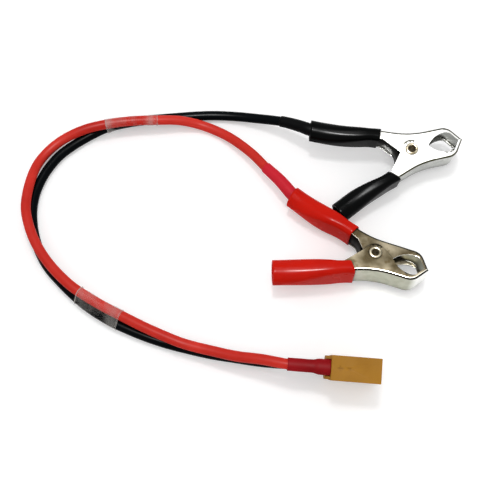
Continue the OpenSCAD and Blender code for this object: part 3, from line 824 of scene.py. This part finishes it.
def spring_half(handle, depth):
    """The middle line of one half, from the front of the bend to the end of its leg, with the outward
    direction at each point."""
    angle = handle.at_waist
    gap = -handle_point(handle, 0, depth).dot(inward(angle))
    bend = (gap - SPRING_X * math.sin(angle)) / (1 - math.sin(angle))
    centre = Vector((SPRING_X - bend, 0))
    line = []
    for i in range(BEND_STEPS + 1):
        t = (math.pi / 2 - angle) * i / BEND_STEPS
        out = Vector((math.cos(t), math.sin(t)))
        line.append((centre + bend * out, out))
    end, out = line[-1]
    line += [(end + LEG * k / LEG_STEPS * along(angle), out) for k in range(1, LEG_STEPS + 1)]
    return line


def leaf_section():
    """The leaf's section, a flat rectangle with its corners cut: how far out and how far across."""
    thick = LEAF / 2
    wide = SPRING_WIDTH / 2
    cut_thick = thick - LEAF_EDGE
    cut_wide = wide - LEAF_EDGE
    return [(-cut_thick, -wide), (-thick, -cut_wide), (-thick, cut_wide), (-cut_thick, wide),
            (cut_thick, wide), (thick, cut_wide), (thick, -cut_wide), (cut_thick, -wide)]


def make_spring(colour):
    """A bent leaf between the handles."""
    upper = spring_half(WIRED_HANDLE[colour], WIRED_LEG_DEPTH)
    lower = [(Vector((p.x, -p.y)), Vector((out.x, -out.y)))
             for p, out in spring_half(FREE_HANDLE, FREE_LEG_DEPTH)]
    rings = []
    for p, out in lower[:0:-1] + upper:
        rings.append([Vector((p.x + n * out.x, p.y + n * out.y, w)) for n, w in leaf_section()])
    made = loft(f"{colour}_leaf", rings, SPRING_STEEL)
    made.data.transform(CLIP[colour])
    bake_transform(made)
    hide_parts(f"{colour}_spring")


for colour in COLOURS:
    make_spring(colour)


# ---------------------------------------------------------------- CAD nodes that stay

SMOOTH_BELOW = math.radians(32)
BEVEL_ABOVE = math.radians(40)
SAME_POINT = 1e-6
BEVEL = 0.15 * MM
FINE_BEVEL = 0.06 * MM


def smooth_group():
    """Geometry nodes that shade a mesh smooth, except along its sharp edges."""
    group = bpy.data.node_groups.new("smooth_by_angle", "GeometryNodeTree")
    group.interface.new_socket("Geometry", in_out="INPUT", socket_type="NodeSocketGeometry")
    group.interface.new_socket("Geometry", in_out="OUTPUT", socket_type="NodeSocketGeometry")
    nodes, links = group.nodes, group.links
    start, end = nodes.new("NodeGroupInput"), nodes.new("NodeGroupOutput")
    plain = nodes.new("GeometryNodeRemoveAttribute")
    plain.inputs["Name"].default_value = "custom_normal"
    angle = nodes.new("GeometryNodeInputMeshEdgeAngle")
    soft = nodes.new("FunctionNodeCompare")
    soft.operation = "LESS_EQUAL"
    soft.inputs["B"].default_value = SMOOTH_BELOW
    faces = nodes.new("GeometryNodeSetShadeSmooth")
    faces.domain = "FACE"
    edges = nodes.new("GeometryNodeSetShadeSmooth")
    edges.domain = "EDGE"
    links.new(start.outputs[0], plain.inputs["Geometry"])
    links.new(plain.outputs["Geometry"], faces.inputs["Geometry"])
    links.new(faces.outputs["Geometry"], edges.inputs["Geometry"])
    links.new(angle.outputs["Unsigned Angle"], soft.inputs["A"])
    links.new(soft.outputs["Result"], edges.inputs["Shade Smooth"])
    links.new(edges.outputs["Geometry"], end.inputs[0])
    return group


SMOOTH = smooth_group()


def dress(node, material, bevel=0.0):
    """Gives a CAD node its material, soft edges and smooth shading, by modifiers only."""
    shown = frame["nodes"][node]
    shown.data.materials.clear()
    shown.data.materials.append(material)
    weld = shown.modifiers.new("weld", "WELD")
    weld.merge_threshold = SAME_POINT
    if bevel:
        rounding = shown.modifiers.new("bevel", "BEVEL")
        rounding.width = bevel
        rounding.segments = 2
        rounding.limit_method = "ANGLE"
        rounding.angle_limit = BEVEL_ABOVE
        rounding.use_clamp_overlap = True
    shading = shown.modifiers.new("smooth", "NODES")
    shading.node_group = SMOOTH
    weighting = shown.modifiers.new("weighted", "WEIGHTED_NORMAL")
    weighting.keep_sharp = True


for half in ("wired", "free"):
    dress(f"red_{half}_jaw", CLIP_STEEL["red"], BEVEL)
    dress(f"black_{half}_jaw", CLIP_STEEL["black"], FINE_BEVEL)
for colour in COLOURS:
    dress(f"{colour}_rivet", RIVET_STEEL)
    dress(f"{colour}_clip_solder", SOLDER)
    dress(f"{colour}_pin_solder", SOLDER)
dress("connector_housing", AMBER, BEVEL)
dress("positive_pin", GOLD, FINE_BEVEL)
dress("negative_pin", GOLD, FINE_BEVEL)


# ---------------------------------------------------------------- floor, light and background

WHITE = (1, 1, 1, 1)
FLOOR_TONE = (0.8, 0.8, 0.8, 1)
FLOOR_LIFT = 0.32
FLOOR_HALF = 3.0
WORLD_LIGHT = 0.78
WORLD_SEEN = 1.0
LAMPS_AIM = Vector((-0.04, 0.0, 0.0))


def make_floor():
    """A pale floor that keeps the shadow; what the camera and reflections see of it is lifted to white."""
    material, tree, shader = new_material("floor")
    shader.inputs["Base Color"].default_value = FLOOR_TONE
    shader.inputs["Roughness"].default_value = 0.9
    shader.inputs["Specular IOR Level"].default_value = 0.1
    shader.inputs["Emission Color"].default_value = WHITE
    lift = add_math(tree, "MULTIPLY", add_background_rays(tree), FLOOR_LIFT)
    tree.links.new(lift, shader.inputs["Emission Strength"])
    corners = [(x * FLOOR_HALF, y * FLOOR_HALF, 0) for x, y in ((-1, -1), (1, -1), (1, 1), (-1, 1))]
    floor = add_mesh("floor", corners, [(0, 1, 2, 3)], material)


def make_world():
    """Pale light from all round; white to the camera and in reflections."""
    world = bpy.data.worlds.new("world")
    bpy.context.scene.world = world
    world.use_nodes = True
    tree = world.node_tree
    background = tree.nodes["Background"]
    background.inputs["Color"].default_value = WHITE
    strength = add_range(tree, add_background_rays(tree), WORLD_LIGHT, WORLD_SEEN, start=0.0, end=1.0)
    tree.links.new(strength, background.inputs["Strength"])


def add_lamp(name, place, size, energy, only_glossy=False):
    """A round lamp aimed at the lead; an only glossy one shows in reflections and lights nothing."""
    data = bpy.data.lights.new(name, "AREA")
    data.shape = "DISK"
    data.size = size
    data.energy = energy
    lamp = bpy.data.objects.new(name, data)
    lamp.location = place
    lamp.rotation_mode = "QUATERNION"
    lamp.rotation_quaternion = (LAMPS_AIM - Vector(place)).to_track_quat("-Z", "Y")
    lamp.visible_diffuse = not only_glossy
    bpy.context.scene.collection.objects.link(lamp)


make_floor()
make_world()
add_lamp("key", (-0.06, 0.22, 0.85), size=0.16, energy=1.9)
add_lamp("streak", (-0.1, -0.1, 0.84), size=0.07, energy=27.0, only_glossy=True)

bpy.context.scene.view_settings.view_transform = "Standard"
